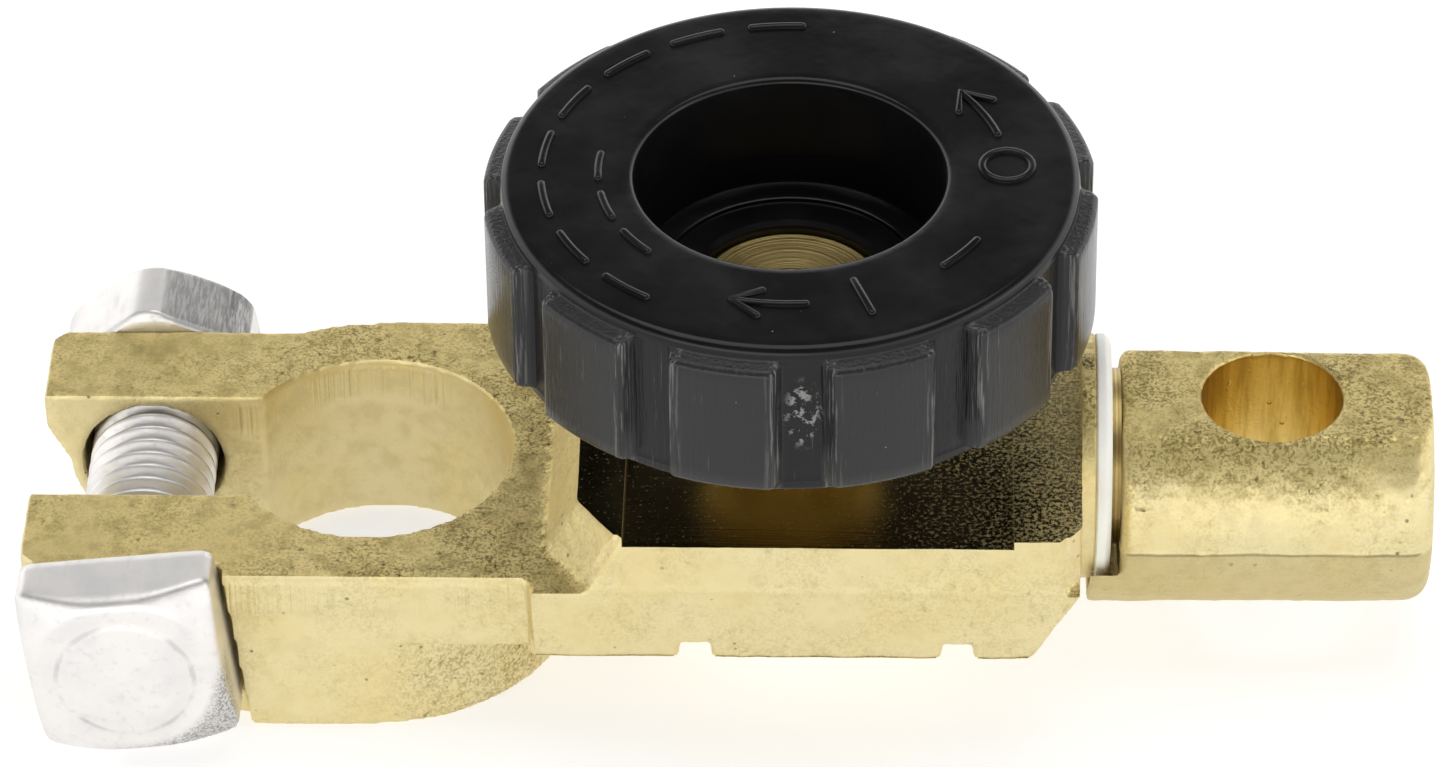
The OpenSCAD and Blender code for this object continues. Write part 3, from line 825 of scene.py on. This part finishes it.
def makeKnob():
    s = knobSet
    knob = makeKnobBody()
    spot = Matrix.Translation((s["x"], 0, 0))
    ring = Vector(polar(s["markR"], 3))
    ringPath = [ring + Vector(polar(1.5, a)) for a in range(0, 360, 15)]
    strokes = [bead(path, s["markW"], s["mark"], s["top"]) for path in markPaths()]
    strokes.append(bead(ringPath, s["markW"], s["mark"], s["top"], True))
    for points, faces in strokes:
        combine(knob, fromPoints("mark", turned(points, spot), faces), "UNION")
    for i in range(s["ribs"]):
        rib = block("rib", (s["hollowIn"] - 0.5, -s["ribT"] / 2, s["base"] + 1.5),
                    (s["hollowOut"] + 0.5, s["ribT"] / 2, s["roof"] + 0.5))
        place = Matrix.Translation((s["x"] * mm, 0, 0))
        rib.data.transform(place @ Matrix.Rotation(math.tau * i / s["ribs"], 4, "Z"))
        combine(knob, rib, "UNION")
    knob.name = "knobMoulding"
    return shade(knob, 30)


knobMoulding = makeKnob()
hand(knobMoulding, "knob", "black_plastic", makeBlackPlastic(), "knob")
print("knob made", len(knobMoulding.data.polygons))


screwSet = {"top": 12.5, "headR": 5.6, "base": 10.8, "hexAcross": 12.8, "hexZ": 11.3, "hexT": 0.8,
            "crest": 4.98, "depth": 0.8, "pitch": 1.5, "end": 1.1, "pinR": 1.5, "pinEnd": 0.15, "steps": 96}


def makeScrew():
    s = screwSet
    spot = Matrix.Translation((knobSet["x"], 0, 0))

    def hexagon(angle):
        third = math.pi / 3
        return s["hexAcross"] / 2 / math.cos(angle % third - third / 2)

    rows = [(s["top"] - 0.12, 0.25), (s["top"], 0.6)]
    hexTop = s["hexZ"] + s["hexT"]
    rows += [(s["top"] - 0.03 * (i % 2), r) for i, r in enumerate(sweep(15, 0.9, s["headR"] - 0.25))]
    rows += [(s["top"] - 0.12, s["headR"]), (hexTop, s["headR"]), (hexTop, hexagon), (s["hexZ"], hexagon),
             (s["hexZ"], s["headR"]), (s["base"], s["headR"]), (s["base"], s["crest"])]
    rows += reversed(threadRows(s["crest"], s["depth"], s["pitch"], s["end"] + 0.45, s["base"] - 0.1))
    rows += [(s["end"], s["crest"] - 0.55), (s["end"], s["pinR"]), (s["pinEnd"] + 0.1, s["pinR"]),
             (s["pinEnd"], s["pinR"] - 0.1)]
    screw = spin("switchScrew", rows, spot, s["steps"])
    screw.data.flip_normals()
    return shade(screw, 30)


switchScrew = makeScrew()
hand(switchScrew, "knob", "turned_brass", makeTurnedBrass("screwBrass", knobSet["x"], True),
     "switch_screw")


bushSet = {"z": -0.3, "in": 31.15, "boss": 44.25, "flangeR": 7.5, "flangeT": 0.95, "bore": 2.5,
           "sleeveR": 3.1, "slope": 0.4, "steps": 128}


def makeBush():
    s = bushSet
    along = Matrix.Translation((0, 0, s["z"])) @ Matrix.Rotation(math.pi / 2, 4, "Y")
    face, out = s["boss"], s["boss"] + s["flangeT"]
    rows = [(s["in"], s["bore"]), (s["in"], s["sleeveR"] - 0.1), (s["in"] + 0.1, s["sleeveR"]),
            (face, s["sleeveR"]), (face, s["flangeR"] - 0.12), (face + 0.1, s["flangeR"])]
    rows += [(out - 0.42, s["flangeR"] - 0.02), (out - 0.3, s["flangeR"] - 0.1),
             (out - 0.06, s["flangeR"] - s["slope"]), (out, s["flangeR"] - s["slope"] - 0.12),
             (out, s["bore"] + 1.0), (out, s["bore"])]
    bush = spin("insulatingBush", rows, along, s["steps"], closed=True)
    return shade(bush, 40)


hand(makeBush(), "clamp", "white_nylon", nylon, "insulating_bush")


def dress(node, material, edge=0.12):
    # a node whose shape is right keeps it, with its edges broken
    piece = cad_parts[node]
    piece.data.materials.clear()
    piece.data.materials.append(material)
    bevel = piece.modifiers.new("edges", "BEVEL")
    bevel.width = edge * mm
    bevel.segments = 2
    bevel.limit_method = "ANGLE"
    bevel.angle_limit = math.radians(40)


dress("contact_stem", makeTurnedBrass("stemBrass", 0.0, False))
dress("contact_tip", makeTurnedBrass("tipBrass", knobSet["x"], True), 0.08)
dress("support_plug", nylon)
print("small pieces made")


studioSet = {"floorZ": -12.1, "floorHalf": 3000, "floorGlow": 0.62, "floorTone": 0.6, "low": 1.65,
             "high": 0.12, "cameraAt": (32.29, -347.35, 280.11), "swing": -1.802, "tilt": 38.354,
             "roll": -0.728, "lens": 181.75}


def makeFloor():
    s = studioSet
    half, z = s["floorHalf"], s["floorZ"]
    corners = [(-half, -half, z), (half, -half, z), (half, half, z), (-half, half, z)]
    floor = fromPoints("floor", corners, [(0, 1, 2, 3)])
    board = Board("paleFloor")
    grain = board.noise(40.0, 2.0, 0.5)
    tone = board.blend(grain, (s["floorTone"],) * 3, (s["floorTone"] * 0.98,) * 3)
    glow = board.node("ShaderNodeEmission", {}, {"Color": (1, 1, 1, 1), "Strength": s["floorGlow"]})
    matt = board.node("ShaderNodeBsdfDiffuse", {}, {"Color": tone})
    both = board.node("ShaderNodeAddShader", {}, {0: glow, 1: matt})
    board.node("ShaderNodeOutputMaterial", {}, {"Surface": both})
    floor.data.materials.append(board.material)


def makeSky():
    # bright up to about 22 degrees, dark above
    s = studioSet
    world = bpy.data.worlds.new("studio")
    bpy.context.scene.world = world
    board = Board("studio", world)
    low, high = (s["low"],) * 3, (s["high"],) * 3
    way = board.node("ShaderNodeTexCoord", out="Generated")
    rise = board.node("ShaderNodeSeparateXYZ", {}, {"Vector": way}, out=2)
    stops = ((0.0, low), (0.34, low), (0.56, high), (1.0, high))
    glow = board.node("ShaderNodeValToRGB", {"stops": stops}, {0: rise})
    back = board.node("ShaderNodeBackground", {}, {"Color": glow})
    board.node("ShaderNodeOutputWorld", {}, {"Surface": back})


def addLight(name, spot, aim, size, glow):
    # glow is how bright the softbox looks, 1 for white
    lamp = bpy.data.lights.new(name, "AREA")
    lamp.shape = "RECTANGLE"
    lamp.size = size[0] * mm
    lamp.size_y = size[1] * mm
    lamp.energy = glow * math.pi * lamp.size * lamp.size_y
    piece = bpy.data.objects.new(name, lamp)
    bpy.context.scene.collection.objects.link(piece)
    piece.location = Vector(spot) * mm
    piece.rotation_euler = (Vector(aim) - Vector(spot)).to_track_quat("-Z", "Y").to_euler()


def makeCamera():
    s = studioSet
    swing, tilt, roll = (math.radians(s[key]) for key in ("swing", "tilt", "roll"))
    ahead = Vector((math.sin(swing) * math.cos(tilt), math.cos(swing) * math.cos(tilt), -math.sin(tilt)))
    right = Vector((math.cos(swing), -math.sin(swing), 0))
    up = right.cross(ahead)
    across = math.cos(roll) * right + math.sin(roll) * up
    above = -math.sin(roll) * right + math.cos(roll) * up
    lens = bpy.data.cameras.new("camera")
    lens.lens = s["lens"]
    lens.sensor_width = 36
    lens.clip_start = 0.01
    lens.clip_end = 50
    camera = bpy.data.objects.new("camera", lens)
    bpy.context.scene.collection.objects.link(camera)
    turn = Matrix((across, above, -ahead)).transposed().to_4x4()
    camera.matrix_world = Matrix.Translation(Vector(s["cameraAt"]) * mm) @ turn
    bpy.context.scene.camera = camera


makeFloor()
makeSky()
addLight("topSoftbox", (20, 60, 420), (20, 0, 0), (420, 320), 1.9)
addLight("frontSoftbox", (-120, -420, 160), (20, 0, 0), (420, 160), 1.0)
addLight("rightSoftbox", (420, -60, 180), (20, 0, 0), (200, 260), 0.8)
makeCamera()
bpy.context.scene.view_settings.view_transform = "Standard"
